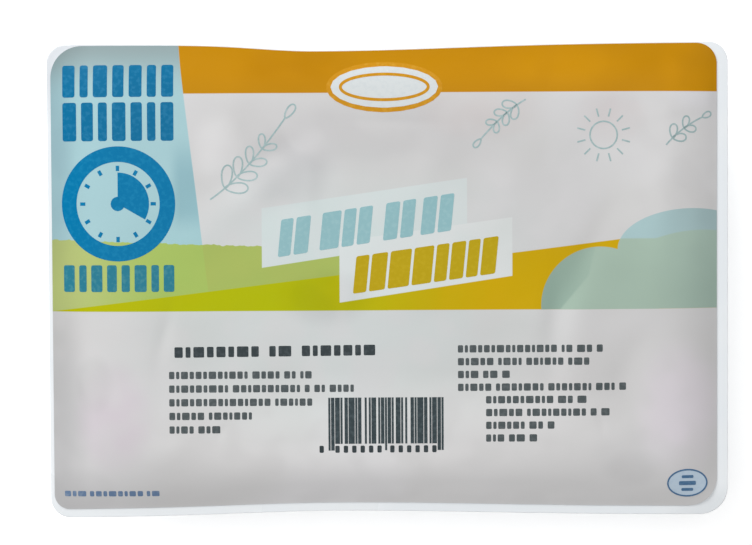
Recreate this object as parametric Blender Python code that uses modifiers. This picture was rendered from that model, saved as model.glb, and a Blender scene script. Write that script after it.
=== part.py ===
"""A shut meat tray pack that lies on its base, with its printed film on top.

The pack is a shallow plastic tray, filled and shut, so it is one solid out to its walls, and a
thin film that is sealed over its flange. The film is drawn down at its edges, lies in low swells
over the contents, and pulls both long sides in to a slight waist.

Metres, +Z up. The origin is at the middle of the pack's base. +X runs along the long sides, and
+Y points to the back long side, which is the top edge of the print.
"""

from dataclasses import dataclass

import bmesh
import bpy
import numpy as np

MM = 0.001

COLLECTION_NAME = "meat_tray_pack"

# The tray's flange, seen from above
TRAY_LENGTH = 181.5 * MM
TRAY_WIDTH = 126.5 * MM
# The radii of its back right, back left, front left and front right corner
TRAY_CORNERS = (5.4 * MM, 5.0 * MM, 5.5 * MM, 7.4 * MM)

# The flange's outer edge, seen from the side
FLANGE_BOTTOM = 16.4 * MM
FLANGE_TOP = 17.4 * MM
FLANGE_EDGE_ROUND = 0.25 * MM

# The film's outline: it lies a little to the left and to the back on the flange
FILM_LENGTH = 177.1 * MM
FILM_WIDTH = 123.5 * MM
FILM_SHIFT = (-0.97 * MM, 1.03 * MM)
# The radii of its back right, back left, front left and front right corner
FILM_CORNERS = (5.5 * MM, 8.5 * MM, 4.0 * MM, 7.6 * MM)
FILM_THICKNESS = 0.3 * MM
FILM_GAP = 0.35 * MM

# How the film rises from its edge: first over the drooping flange, then over the contents
FILM_EDGE_HEIGHT = 18.1 * MM
DROOP_HEIGHT = 0.8 * MM
DROOP_REACH = 4.0 * MM
CROWN_HEIGHT = 4.1 * MM
CROWN_POWER = 1.25
LEFT_REACH = 8.0 * MM
RIGHT_REACH = 11.0 * MM
FRONT_REACH = 7.8 * MM
BACK_REACH = 6.0 * MM

# How many points go round a quarter of every outline, and how many rings cover the film
SHORT_SIDE_POINTS = 4
CORNER_POINTS = 7
LONG_SIDE_POINTS = 8
FILM_RINGS = 13
FILM_RING_REACH = 60.0 * MM
FILM_RING_POWER = 1.6
INNER_CORNER_SHARE = 0.8

# Edges that meet at more than this angle stay crisp
CRISP_ANGLE = np.radians(35.0)

FILM_COLOUR = (0.640, 0.660, 0.660, 1.0)
FILM_ROUGHNESS = 0.35
TRAY_COLOUR = (0.760, 0.790, 0.810, 1.0)
TRAY_ROUGHNESS = 0.30


@dataclass(frozen=True)
class Waist:
    """How far one long side is pulled in, and how the pull fades to both sides of its deepest place."""

    depth: float
    deepest_x: float
    fade_left: float
    fade_right: float

    def pull(self, x):
        """The pull at each x: half a bell to the left of the deepest place, a wider half to the right."""
        fade = np.where(x < self.deepest_x, self.fade_left, self.fade_right)
        return self.depth * np.exp(-0.5 * ((x - self.deepest_x) / fade) ** 2)


@dataclass(frozen=True)
class Swell:
    """One low bulge of the film over the contents, or with a height below zero one dent."""

    x: float
    y: float
    reach_x: float
    reach_y: float
    height: float

    def rise(self, x, y):
        """The swell's height at each point, a bell over the plan."""
        return self.height * np.exp(-0.5 * (((x - self.x) / self.reach_x) ** 2 + ((y - self.y) / self.reach_y) ** 2))


@dataclass(frozen=True)
class Level:
    """One outline of the tray below its flange: how far in it lies, how high, and its corners' radius."""

    inset: float
    height: float
    corner: float


BACK_WAIST = Waist(1.8 * MM, -19.0 * MM, 15.0 * MM, 36.0 * MM)
FRONT_WAIST = Waist(1.5 * MM, -12.6 * MM, 28.0 * MM, 38.0 * MM)

SWELLS = (
    Swell(-66.0 * MM, -27.2 * MM, 9.0 * MM, 20.0 * MM, 0.6 * MM),
    Swell(-37.0 * MM, 36.8 * MM, 9.0 * MM, 8.0 * MM, -0.6 * MM),
    Swell(-14.0 * MM, 30.8 * MM, 9.0 * MM, 7.0 * MM, -0.5 * MM),
    Swell(-15.0 * MM, -27.2 * MM, 26.0 * MM, 18.0 * MM, 0.4 * MM),
    Swell(49.0 * MM, -13.2 * MM, 7.0 * MM, 15.0 * MM, 0.5 * MM),
    Swell(68.0 * MM, -21.2 * MM, 7.0 * MM, 14.0 * MM, -0.5 * MM),
    Swell(36.0 * MM, 30.8 * MM, 16.0 * MM, 12.0 * MM, 0.4 * MM),
)

# The tray from the middle of its base up to the flange: a raised panel inside a flat foot, a
# rounded heel, a leaning wall with a stacking ledge, and the fillet under the flange
LEVELS = (
    Level(28.6 * MM, 0.8 * MM, 6.0 * MM),
    Level(27.4 * MM, 0.0 * MM, 7.0 * MM),
    Level(17.2 * MM, 0.0 * MM, 12.0 * MM),
    Level(15.7 * MM, 0.4 * MM, 13.0 * MM),
    Level(14.7 * MM, 1.4 * MM, 13.5 * MM),
    Level(14.2 * MM, 3.0 * MM, 14.0 * MM),
    Level(13.2 * MM, 7.8 * MM, 14.5 * MM),
    Level(11.8 * MM, 8.6 * MM, 15.0 * MM),
    Level(11.4 * MM, 10.0 * MM, 15.0 * MM),
    Level(10.2 * MM, 15.6 * MM, 15.0 * MM),
    Level(9.6 * MM, 16.8 * MM, 15.0 * MM),
    Level(8.4 * MM, 17.3 * MM, 14.5 * MM),
)


def clear_scene():
    """Remove every object that the file starts with."""
    for obj in list(bpy.data.objects):
        bpy.data.objects.remove(obj, do_unlink=True)


def make_material(name, colour, roughness):
    """A plain material for one piece of the pack."""
    material = bpy.data.materials.new(name)
    material.use_nodes = True
    shader = material.node_tree.nodes["Principled BSDF"]
    shader.inputs["Base Color"].default_value = colour
    shader.inputs["Roughness"].default_value = roughness
    shader.inputs["Metallic"].default_value = 0.0
    return material


def quarter_outline(half_length, half_width, corner):
    """Points of the back right quarter of an outline, from just behind the +X axis to near the +Y axis."""
    steps = (np.arange(SHORT_SIDE_POINTS) + 0.5) / SHORT_SIDE_POINTS
    short_side = np.column_stack((np.full(SHORT_SIDE_POINTS, half_length), steps * (half_width - corner)))
    turns = np.linspace(0.0, np.pi / 2, CORNER_POINTS)
    arc_x = half_length - corner + corner * np.cos(turns)
    arc_y = half_width - corner + corner * np.sin(turns)
    steps = 1.0 - (np.arange(LONG_SIDE_POINTS) + 0.5) / LONG_SIDE_POINTS
    long_side = np.column_stack((steps * (half_length - corner), np.full(LONG_SIDE_POINTS, half_width)))
    return np.vstack((short_side, np.column_stack((arc_x, arc_y)), long_side))


def rounded_outline(half_length, half_width, corners):
    """Points round a rectangle with round corners, anticlockwise from just behind the +X axis.

    The corners' radii are given from the back right one on, also anticlockwise. Points lie in pairs
    on both sides of the X axis, so a first and a last point face each other.
    """
    back_right, back_left, front_left, front_right = (
        quarter_outline(half_length, half_width, corner) for corner in corners
    )
    back = np.vstack((back_right, back_left[::-1] * (-1, 1)))
    front = np.vstack((front_left * (-1, -1), front_right[::-1] * (1, -1)))
    return np.vstack((back, front))


def pull_in(points):
    """Draw the points towards the X axis by the waist of the side that they are on."""
    x, y = points.T
    pull = np.where(y > 0, BACK_WAIST.pull(x), FRONT_WAIST.pull(x))
    return np.column_stack((x, y * (1.0 - pull / (TRAY_WIDTH / 2))))


def ring(points, height):
    """A ring of points in space: the outline with its waist, at one height or at one for each point."""
    return np.column_stack((pull_in(points), np.broadcast_to(height, len(points))))


def tray_ring(inset, height, corners):
    """A ring round the tray, the given distance inside the flange's edge, with these four radii."""
    outline = rounded_outline(TRAY_LENGTH / 2 - inset, TRAY_WIDTH / 2 - inset, corners)
    return ring(outline, height)


def edge_distances(x, y):
    """How far each point lies inside the film's left, right, front and back edge."""
    x = x - FILM_SHIFT[0]
    y = y - FILM_SHIFT[1]
    half_length = FILM_LENGTH / 2
    half_width = FILM_WIDTH / 2
    inside = (half_length + x, half_length - x, half_width + y, half_width - y)
    return [np.maximum(distance, 0.0) for distance in inside]


def film_height(x, y):
    """Height of the film's underside over plan points, which are taken before the waist is drawn in.

    The droop and the crown each rise from zero at the edges: from every edge by one minus a
    falling exponential of the distance, and the four of them are multiplied.
    """
    distances = edge_distances(x, y)
    reaches = (LEFT_REACH, RIGHT_REACH, FRONT_REACH, BACK_REACH)
    droop = np.ones_like(x)
    crown = np.ones_like(x)
    for distance, reach in zip(distances, reaches):
        droop = droop * (1.0 - np.exp(-distance / DROOP_REACH))
        crown = crown * (1.0 - np.exp(-((distance / reach) ** CROWN_POWER)))
    swells = sum(swell.rise(x, y) for swell in SWELLS)
    return FILM_EDGE_HEIGHT + DROOP_HEIGHT * droop + (CROWN_HEIGHT + swells) * crown


def film_rings(drop):
    """Rings from the film's edge in to its middle, the given distance below the film's underside."""
    rings = []
    for inset in FILM_RING_REACH * (np.arange(FILM_RINGS + 1) / FILM_RINGS) ** FILM_RING_POWER:
        half_width = FILM_WIDTH / 2 - inset
        corners = [min(corner, INNER_CORNER_SHARE * half_width) for corner in FILM_CORNERS]
        points = rounded_outline(FILM_LENGTH / 2 - inset, half_width, corners) + FILM_SHIFT
        rings.append(ring(points, film_height(*points.T) - drop))
    return rings


def add_rings(mesh, rings):
    """Add the rings' points, and a band of four-sided faces from each ring to the next."""
    corners = [[mesh.verts.new(point) for point in points] for points in rings]
    for lower, upper in zip(corners, corners[1:]):
        for i, vertex in enumerate(lower):
            following = (i + 1) % len(lower)
            mesh.faces.new((vertex, lower[following], upper[following], upper[i]))
    return corners


def close_ring(mesh, corners, faces_up):
    """Close a ring with a strip of four-sided faces across the X axis."""
    last = len(corners) - 1
    for i in range(last // 2):
        face = (corners[i], corners[i + 1], corners[last - i - 1], corners[last - i])
        mesh.faces.new(face if faces_up else face[::-1])


def add_piece(name, mesh, material, collection):
    """Turn the finished mesh into an object of its own, shaded smooth between its crisp edges."""
    data = bpy.data.meshes.new(name)
    mesh.to_mesh(data)
    mesh.free()
    data.shade_smooth()
    data.set_sharp_from_angle(angle=CRISP_ANGLE)
    data.materials.append(material)
    piece = bpy.data.objects.new(name, data)
    collection.objects.link(piece)
    return piece


def build_tray(collection):
    """The filled tray: base, walls and flange, and above them the contents up to the film."""
    inner_corners = [corner - FLANGE_EDGE_ROUND for corner in TRAY_CORNERS]
    rings = [tray_ring(level.inset, level.height, (level.corner,) * 4) for level in LEVELS]
    rings += [
        tray_ring(FLANGE_EDGE_ROUND, FLANGE_BOTTOM, inner_corners),
        tray_ring(0.0, FLANGE_BOTTOM + FLANGE_EDGE_ROUND, TRAY_CORNERS),
        tray_ring(0.0, FLANGE_TOP - FLANGE_EDGE_ROUND, TRAY_CORNERS),
        tray_ring(FLANGE_EDGE_ROUND, FLANGE_TOP, inner_corners),
    ]
    rings += film_rings(FILM_GAP)
    mesh = bmesh.new()
    corners = add_rings(mesh, rings)
    close_ring(mesh, corners[0], faces_up=False)
    close_ring(mesh, corners[-1], faces_up=True)
    material = make_material("clear_plastic", TRAY_COLOUR, TRAY_ROUGHNESS)
    return add_piece("tray", mesh, material, collection)


def build_film(collection):
    """The printed film: an open surface at its underside, thickened upwards."""
    mesh = bmesh.new()
    corners = add_rings(mesh, film_rings(0.0))
    close_ring(mesh, corners[-1], faces_up=True)
    material = make_material("printed_film", FILM_COLOUR, FILM_ROUGHNESS)
    film = add_piece("top_film", mesh, material, collection)
    solidify = film.modifiers.new("thickness", "SOLIDIFY")
    solidify.thickness = FILM_THICKNESS
    solidify.offset = 1.0
    return film


def main():
    """Build the pack's two pieces in their collection."""
    clear_scene()
    collection = bpy.data.collections.new(COLLECTION_NAME)
    bpy.context.scene.collection.children.link(collection)
    build_tray(collection)
    build_film(collection)


if __name__ == "__main__":
    main()
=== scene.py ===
"""The looks of a shut meat tray pack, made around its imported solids.

The printed film, the tray below it and every printed mark are surfaces worked out with numpy.
Lengths are in millimetres in the pack's own frame, and turn into metres where a mesh is filled.
+X runs to the right of the print, +Y to its top edge and +Z up, with the base at zero.
"""

import logging
import math
from dataclasses import dataclass
from enum import Enum
from typing import Protocol

import bpy
import numpy as np
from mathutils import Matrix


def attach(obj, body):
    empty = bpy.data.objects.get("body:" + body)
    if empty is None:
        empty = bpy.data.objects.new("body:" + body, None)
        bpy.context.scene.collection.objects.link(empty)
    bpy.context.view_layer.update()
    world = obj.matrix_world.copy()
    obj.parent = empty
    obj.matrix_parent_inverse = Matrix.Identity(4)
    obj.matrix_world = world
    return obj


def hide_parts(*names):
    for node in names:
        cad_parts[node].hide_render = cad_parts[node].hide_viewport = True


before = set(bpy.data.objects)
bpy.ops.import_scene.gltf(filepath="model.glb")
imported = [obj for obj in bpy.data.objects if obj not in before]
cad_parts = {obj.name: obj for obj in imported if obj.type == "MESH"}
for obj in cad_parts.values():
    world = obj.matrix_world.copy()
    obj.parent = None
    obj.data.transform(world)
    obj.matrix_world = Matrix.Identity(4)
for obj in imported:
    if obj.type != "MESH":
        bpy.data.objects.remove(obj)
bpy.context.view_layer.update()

LOG = logging.getLogger("meat_tray_pack")
MM = 0.001
BODY = "root"
CRISP_ANGLE = math.radians(40.0)
# How far the middle of the print, and of the relief that is set out with it, lies behind the pack's middle
PRINT_RISE = 0.8

Colour = tuple[float, float, float]
Socket = bpy.types.NodeSocket
Value = float | Socket
# A group of blocks: its left end, its base and the lengths of its blocks
Group = tuple[float, float, tuple[float, ...]]


class Slot(Enum):
    """The record's material slots that a piece can take its finish from."""

    PLASTIC = "clear_plastic"
    FILM = "printed_film"


# The form that all pieces share


def bell(distance: np.ndarray, reach: np.ndarray | float) -> np.ndarray:
    """Work out a bell: the exponential of minus half the square of distance over reach."""
    return np.exp(-0.5 * (distance / reach) ** 2)


def rising(distance: np.ndarray, reach: float, power: float) -> np.ndarray:
    """Rise from zero to one: one minus a falling exponential of a power of distance over reach."""
    return 1.0 - np.exp(-((distance / reach) ** power))


def plateau(distance: np.ndarray, reach: float, power: int) -> np.ndarray:
    """Stay at one up to the reach and fall behind it: one over one plus a power of distance over reach."""
    return 1.0 / (1.0 + (np.abs(distance) / reach) ** power)


@dataclass(frozen=True)
class Waist:
    """How far one long side is pulled in, and how the pull fades to both sides of its deepest place."""

    depth: float
    deepest_x: float
    fade_left: float
    fade_right: float

    def pull(self, x: np.ndarray) -> np.ndarray:
        """Work out the pull: half a bell to the left of the deepest place, a wider half to the right.

        Args:
            x: Places along the long side.

        Returns:
            How far the side is pulled in at each place.
        """
        fade = np.where(x < self.deepest_x, self.fade_left, self.fade_right)
        return self.depth * bell(x - self.deepest_x, fade)


@dataclass(frozen=True)
class Swell:
    """One low bulge of the film over the contents, a turned bell, or with a height below zero a dent.

    A long and narrow one is a soft fold.
    """

    x: float
    y: float
    reach_along: float
    reach_across: float
    height: float
    turn: float = 0.0

    def rise(self, x: np.ndarray, y: np.ndarray) -> np.ndarray:
        """Work out the swell's height, a bell of the distances along and across its own direction.

        Args:
            x: Plan places to the right.
            y: Plan places to the back.

        Returns:
            The height that the swell adds at each place.
        """
        turn = math.radians(self.turn)
        along = (x - self.x) * math.cos(turn) + (y - self.y) * math.sin(turn)
        across = (y - self.y) * math.cos(turn) - (x - self.x) * math.sin(turn)
        return self.height * bell(along, self.reach_along) * bell(across, self.reach_across)


@dataclass(frozen=True)
class Ripple:
    """A long shallow wave of the film: a sine across one direction."""

    length: float
    turn: float
    height: float
    phase: float

    def rise(self, x: np.ndarray, y: np.ndarray) -> np.ndarray:
        """Work out the wave's height, a sine of the distance across its crests.

        Args:
            x: Plan places to the right.
            y: Plan places to the back.

        Returns:
            The height that the wave adds at each place.
        """
        turn = math.radians(self.turn)
        across = x * math.cos(turn) + y * math.sin(turn)
        return self.height * np.sin(2.0 * math.pi * across / self.length + self.phase)


@dataclass(frozen=True)
class RoundedOutline:
    """Points round a rectangle with round corners, anticlockwise from just behind the +X axis.

    They lie in mirror pairs on both sides of the X axis, so a strip of faces can close a ring.
    """

    short_steps: int
    corner_steps: int
    long_steps: int

    def quarter(self, half_length: np.ndarray, half_width: np.ndarray, corner: np.ndarray) -> np.ndarray:
        """Work out the back right quarter of each ring.

        A point is a share of the straight part's half length plus a share of the corner's radius,
        along X and along Y.

        Args:
            half_length: Half of each ring's length.
            half_width: Half of each ring's width.
            corner: The radius of each ring's corner.

        Returns:
            Plan points, rings by points by two.
        """
        up = (np.arange(self.short_steps) + 0.5) / self.short_steps
        turns = np.linspace(0.0, math.pi / 2.0, self.corner_steps)
        back = 1.0 - (np.arange(self.long_steps) + 0.5) / self.long_steps
        straight_x = np.concatenate((np.ones_like(up), np.ones_like(turns), back))
        straight_y = np.concatenate((up, np.ones_like(turns), np.ones_like(back)))
        round_x = np.concatenate((np.ones_like(up), np.cos(turns), np.zeros_like(back)))
        round_y = np.concatenate((np.zeros_like(up), np.sin(turns), np.ones_like(back)))
        straight_length = (half_length - corner)[:, None]
        straight_width = (half_width - corner)[:, None]
        x = straight_x * straight_length + round_x * corner[:, None]
        y = straight_y * straight_width + round_y * corner[:, None]
        return np.stack((x, y), axis=-1)

    def points(self, half_length: np.ndarray, half_width: np.ndarray, corners: np.ndarray) -> np.ndarray:
        """Work out whole rings at once: four quarters, each mirrored to its own place.

        Args:
            half_length: Half of each ring's length.
            half_width: Half of each ring's width.
            corners: The radii of each ring's corners, anticlockwise from the back right one.

        Returns:
            Plan points of the rings, rings by points by two.
        """
        back_right, back_left, front_left, front_right = (
            self.quarter(half_length, half_width, corner) for corner in corners.T
        )
        back = (back_right, back_left[:, ::-1] * (-1.0, 1.0))
        front = (front_left * (-1.0, -1.0), front_right[:, ::-1] * (1.0, -1.0))
        return np.concatenate(back + front, axis=1)


BACK_WAIST = Waist(depth=1.8, deepest_x=-19.0, fade_left=15.0, fade_right=36.0)
FRONT_WAIST = Waist(depth=1.5, deepest_x=-12.6, fade_left=28.0, fade_right=38.0)

# The contents below the film, from left to right: broad swells, then the soft folds between them
SWELLS = (
    Swell(-66.0, -28.0, 9.0, 20.0, 0.60),
    Swell(-37.0, 36.0, 9.0, 8.0, -0.60),
    Swell(-14.0, 30.0, 9.0, 7.0, -0.50),
    Swell(-15.0, -28.0, 26.0, 18.0, 0.40),
    Swell(49.0, -14.0, 7.0, 15.0, 0.50),
    Swell(68.0, -22.0, 7.0, 14.0, -0.50),
    Swell(36.0, 30.0, 16.0, 12.0, 0.40),
)
FOLDS = (
    Swell(-42.5, 38.5, 9.0, 3.4, 0.34, turn=78.0),
    Swell(-33.0, 31.6, 12.0, 2.8, -0.42, turn=32.0),
    Swell(-34.0, 23.6, 12.0, 3.2, 0.40, turn=38.0),
    Swell(-20.5, 27.0, 7.0, 2.0, 0.26, turn=84.0),
    Swell(2.0, 42.3, 10.0, 0.9, -0.10, turn=-3.0),
    Swell(12.5, 31.5, 6.0, 3.0, 0.20, turn=70.0),
    Swell(27.0, 30.0, 7.0, 4.0, -0.16, turn=60.0),
    Swell(73.8, 24.0, 15.0, 3.4, 0.42, turn=84.0),
    Swell(82.5, 42.8, 5.5, 0.8, -0.16, turn=8.0),
    Swell(-59.2, -14.6, 5.0, 1.3, -0.26, turn=76.0),
    Swell(-60.5, -26.0, 11.0, 2.6, -0.26, turn=88.0),
    Swell(-72.0, -28.5, 13.0, 4.0, -0.26, turn=2.0),
    Swell(-44.5, -41.4, 1.7, 0.5, -0.10, turn=62.0),
    Swell(-56.0, -45.0, 6.0, 3.0, 0.24, turn=35.0),
    Swell(44.0, -14.5, 10.0, 2.3, -0.60, turn=86.0),
    Swell(50.0, 1.0, 12.0, 2.6, -0.42, turn=64.0),
    Swell(50.5, -16.0, 9.0, 3.4, 0.26, turn=88.0),
    Swell(66.0, -20.0, 8.0, 3.0, -0.30, turn=58.0),
    Swell(63.5, -31.0, 7.0, 2.6, -0.22, turn=110.0),
    Swell(69.5, -24.0, 9.0, 3.0, 0.24, turn=92.0),
    Swell(56.4, -39.4, 3.0, 0.7, -0.12, turn=97.0),
    Swell(30.0, -41.0, 16.0, 4.0, 0.22, turn=-2.0),
    Swell(65.0, -47.5, 8.0, 3.4, -0.24, turn=30.0),
)
RIPPLES = (
    Ripple(31.0, 12.0, 0.050, 0.4),
    Ripple(23.0, 74.0, 0.040, 1.9),
    Ripple(17.0, 138.0, 0.030, 4.1),
    Ripple(12.5, 43.0, 0.018, 2.7),
    Ripple(9.0, 101.0, 0.010, 0.9),
)


@dataclass(frozen=True)
class PackForm:
    """The pack's outline and the height of its film."""

    tray_length: float = 181.4
    tray_width: float = 126.4
    film_length: float = 177.1
    film_width: float = 123.5
    film_corners: tuple[float, float, float, float] = (5.5, 8.5, 4.0, 7.6)
    film_shift_x: float = -0.97
    film_shift_y: float = 1.03
    film_edge_top: float = 18.0
    droop_height: float = 0.8
    droop_reach: float = 4.0
    crown_height: float = 4.1
    crown_power: float = 1.25
    left_reach: float = 8.0
    right_reach: float = 11.0
    front_reach: float = 7.8
    back_reach: float = 6.0
    # A ring's corners are at most this share of half its width
    corner_share: float = 0.8

    def squeeze(self, x: np.ndarray, y: np.ndarray) -> np.ndarray:
        """Work out the share of its distance from the X axis that the waist leaves to a point.

        Args:
            x: Plan places to the right.
            y: Plan places to the back, of which only the side counts.

        Returns:
            One minus the side's pull over half of the tray's width.
        """
        pull = np.where(y > 0.0, BACK_WAIST.pull(x), FRONT_WAIST.pull(x))
        return 1.0 - pull / (self.tray_width / 2.0)

    def pulled_in(self, points: np.ndarray) -> np.ndarray:
        """Draw plan points towards the X axis by the waist.

        Args:
            points: Plan points before the waist, with two numbers each.

        Returns:
            The points with the waist drawn in.
        """
        x, y = points[..., 0], points[..., 1]
        return np.stack((x, y * self.squeeze(x, y)), axis=-1)

    def film_top(self, x: np.ndarray, y: np.ndarray) -> np.ndarray:
        """Work out the height of the film's upper side.

        The waist is undone first. The droop and the crown each rise from zero at every edge, by one
        minus a falling exponential of the distance from it, and the four are multiplied. The swells,
        folds and ripples ride on the crown.

        Args:
            x: Plan places to the right.
            y: Plan places to the back.

        Returns:
            The film's height at each place.
        """
        y = y / self.squeeze(x, y)
        along, across = x - self.film_shift_x, y - self.film_shift_y
        sides = (
            (self.film_length / 2.0 + along, self.left_reach),
            (self.film_length / 2.0 - along, self.right_reach),
            (self.film_width / 2.0 + across, self.front_reach),
            (self.film_width / 2.0 - across, self.back_reach),
        )
        droop = np.ones_like(x)
        crown = np.ones_like(x)
        for distance, reach in sides:
            inside = np.maximum(distance, 0.0)
            droop = droop * rising(inside, self.droop_reach, 1.0)
            crown = crown * rising(inside, reach, self.crown_power)
        relief = sum(wave.rise(x, y - PRINT_RISE) for wave in SWELLS + FOLDS + RIPPLES)
        return self.film_edge_top + self.droop_height * droop + (self.crown_height + relief) * crown

    def film_rings(self, insets: np.ndarray, drop: np.ndarray, outline: RoundedOutline) -> np.ndarray:
        """Lay rings over the film, each at its own distance inside the film's edge.

        Args:
            insets: The rings' distances from the edge.
            drop: How far each ring lies below the film's upper side.
            outline: How the points are shared out round a ring.

        Returns:
            Points of the rings, rings by points by three.
        """
        half_length = self.film_length / 2.0 - insets
        half_width = self.film_width / 2.0 - insets
        corners = np.minimum(np.array(self.film_corners), self.corner_share * half_width[:, None])
        plan = outline.points(half_length, half_width, corners)
        plan = self.pulled_in(plan + (self.film_shift_x, self.film_shift_y))
        height = self.film_top(plan[..., 0], plan[..., 1]) - drop[:, None]
        return np.concatenate((plan, height[..., None]), axis=-1)

    def tray_rings(
        self, insets: np.ndarray, heights: np.ndarray, corners: np.ndarray, outline: RoundedOutline
    ) -> np.ndarray:
        """Lay level rings round the tray, each at its own distance inside the flange's edge.

        Args:
            insets: The rings' distances from the edge.
            heights: The rings' heights.
            corners: The radii of each ring's corners, anticlockwise from the back right one.
            outline: How the points are shared out round a ring.

        Returns:
            Points of the rings, rings by points by three.
        """
        half_length = self.tray_length / 2.0 - insets
        half_width = self.tray_width / 2.0 - insets
        plan = self.pulled_in(outline.points(half_length, half_width, corners))
        level = np.broadcast_to(heights[:, None, None], plan.shape[:2] + (1,))
        return np.concatenate((plan, level), axis=-1)


# Meshes


def linked(name: str, data: bpy.types.ID) -> bpy.types.Object:
    """Make an object round its data and link it to the scene.

    Args:
        name: The object's name.
        data: Its mesh, light or camera.

    Returns:
        The object.
    """
    made = bpy.data.objects.new(name, data)
    bpy.context.scene.collection.objects.link(made)
    return made


def numbered(rows: int, columns: int) -> np.ndarray:
    """Number the points of a grid row by row."""
    return np.arange(rows * columns).reshape(rows, columns)


def filled_mesh(name: str, points: np.ndarray, quads: np.ndarray) -> bpy.types.Object:
    """Fill a mesh with points and four-sided faces and link its object to the scene.

    Args:
        name: The piece's name.
        points: Points in millimetres, with three numbers each.
        quads: Faces, each four places in the list of points.

    Returns:
        The piece, shaded smooth between its crisp edges.
    """
    mesh = bpy.data.meshes.new(name)
    mesh.vertices.add(len(points))
    mesh.vertices.foreach_set("co", (points * MM).astype(np.float32).ravel())
    mesh.loops.add(quads.size)
    mesh.loops.foreach_set("vertex_index", quads.astype(np.int32).ravel())
    mesh.polygons.add(len(quads))
    mesh.polygons.foreach_set("loop_start", np.arange(0, quads.size, 4, dtype=np.int32))
    mesh.update(calc_edges=True)
    mesh.validate()
    mesh.shade_smooth()
    mesh.set_sharp_from_angle(angle=CRISP_ANGLE)
    return linked(name, mesh)


def lofted_piece(name: str, rings: np.ndarray) -> bpy.types.Object:
    """Join rings into one closed piece: bands between the rings, and a strip across both ends.

    Args:
        name: The piece's name.
        rings: Points of the rings from the underside's middle round to the upper side's middle.

    Returns:
        The closed piece with its faces pointing out.
    """
    count, around = rings.shape[:2]
    places = numbered(count, around)
    following = np.roll(places, -1, axis=1)
    bands = np.stack((places[:-1], following[:-1], following[1:], places[1:]), axis=-1).reshape(-1, 4)
    near = np.arange(around // 2 - 1)
    strip = np.stack((near, near + 1, around - 2 - near, around - 1 - near), axis=-1)
    quads = np.concatenate((bands, strip[:, ::-1], strip + (count - 1) * around))
    return filled_mesh(name, rings.reshape(-1, 3), quads)


@dataclass(frozen=True)
class Patch:
    """A printed shape as a grid of plan points, which may close on itself along its rows."""

    points: np.ndarray
    wraps: bool = False

    def top_quads(self) -> np.ndarray:
        """List the faces between the patch's points.

        Returns:
            Faces, each four places.
        """
        places = numbered(*self.points.shape[:2])
        if self.wraps:
            places = np.concatenate((places, places[:, :1]), axis=1)
        corners = (places[:-1, :-1], places[:-1, 1:], places[1:, 1:], places[1:, :-1])
        return np.stack(corners, axis=-1).reshape(-1, 4)

    def borders(self) -> list[np.ndarray]:
        """List the closed lines round the patch.

        Returns:
            The places of one line, or of two where the patch wraps.
        """
        places = numbered(*self.points.shape[:2])
        if self.wraps:
            return [places[0], places[-1, ::-1]]
        return [np.concatenate((places[0, :-1], places[:-1, -1], places[-1, :0:-1], places[:0:-1, 0]))]

    def quads(self, first: int) -> np.ndarray:
        """List the faces of the patch as a closed sheet, whose lower points follow its upper ones.

        A patch whose faces run the other way round is turned over as a whole.

        Args:
            first: The place of the patch's first point in the piece's list.

        Returns:
            Faces, each four places, that point out of the sheet.
        """
        flat = self.points.reshape(-1, 2)
        below = len(flat)
        top = self.top_quads()
        first_side = flat[top[:, 1]] - flat[top[:, 0]]
        last_side = flat[top[:, 3]] - flat[top[:, 0]]
        area = np.sum(first_side[:, 0] * last_side[:, 1] - first_side[:, 1] * last_side[:, 0])
        sheet = [top, top[:, ::-1] + below]
        for border in self.borders():
            following = np.roll(border, -1)
            sheet.append(np.stack((border + below, following + below, following, border), axis=-1))
        quads = np.concatenate(sheet) + first
        return quads if area > 0.0 else quads[:, ::-1]


# Printed shapes, each a list of patches

# About how far apart the grid points of a filled mark and the points of a line are
GRID_PITCH = 1.1
PATH_PITCH = 0.7
LEAST_PATH_POINTS = 12
# How many rows round off a block's corner, and its largest radius as a share of the block's sides
CORNER_ROWS = 4
LARGEST_CORNER = 0.49
SMALL_CORNER = 0.3
# How far the scan of an oval turns to both sides, and its least rows and columns
OVAL_TURN = 0.48 * math.pi
LEAST_OVAL_ROWS = 9
LEAST_OVAL_COLUMNS = 7


def steps_for(length: float) -> int:
    """Count the grid points that a length needs to follow the film."""
    return max(2, math.ceil(length / GRID_PITCH) + 1)


def scanned_shape(half_lengths: np.ndarray, heights: np.ndarray, columns: int) -> np.ndarray:
    """Scan a shape row by row: each row runs evenly from minus to plus its own half length.

    Args:
        half_lengths: Half of each row's length.
        heights: Each row's height above the shape's middle.
        columns: How many points a row has.

    Returns:
        Plan points, rows by columns by two, round the shape's middle.
    """
    across = np.linspace(-1.0, 1.0, columns)
    x = half_lengths[:, None] * across
    return np.stack((x, np.broadcast_to(heights[:, None], x.shape)), axis=-1)


def block(length: float, height: float, corner: float) -> np.ndarray:
    """Make a block with round corners round its own middle.

    A row within the corners is shorter by the radius less the chord of the corner's circle.

    Args:
        length: The block's whole length.
        height: The block's whole height.
        corner: The radius of its corners.

    Returns:
        Plan points, rows by columns by two.
    """
    corner = min(corner, LARGEST_CORNER * length, LARGEST_CORNER * height)
    straight = height / 2.0 - corner
    turns = np.linspace(0.0, math.pi / 2.0, CORNER_ROWS)
    low = -height / 2.0 + corner * (1.0 - np.sin(turns[::-1]))
    middle = np.linspace(-straight, straight, steps_for(height - 2.0 * corner))[1:-1]
    heights = np.concatenate((low, middle, -low[::-1]))
    into = np.maximum(np.abs(heights) - straight, 0.0)
    half_lengths = length / 2.0 - corner + np.sqrt(np.maximum(corner**2 - into**2, 0.0))
    return scanned_shape(half_lengths, heights, steps_for(length))


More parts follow.
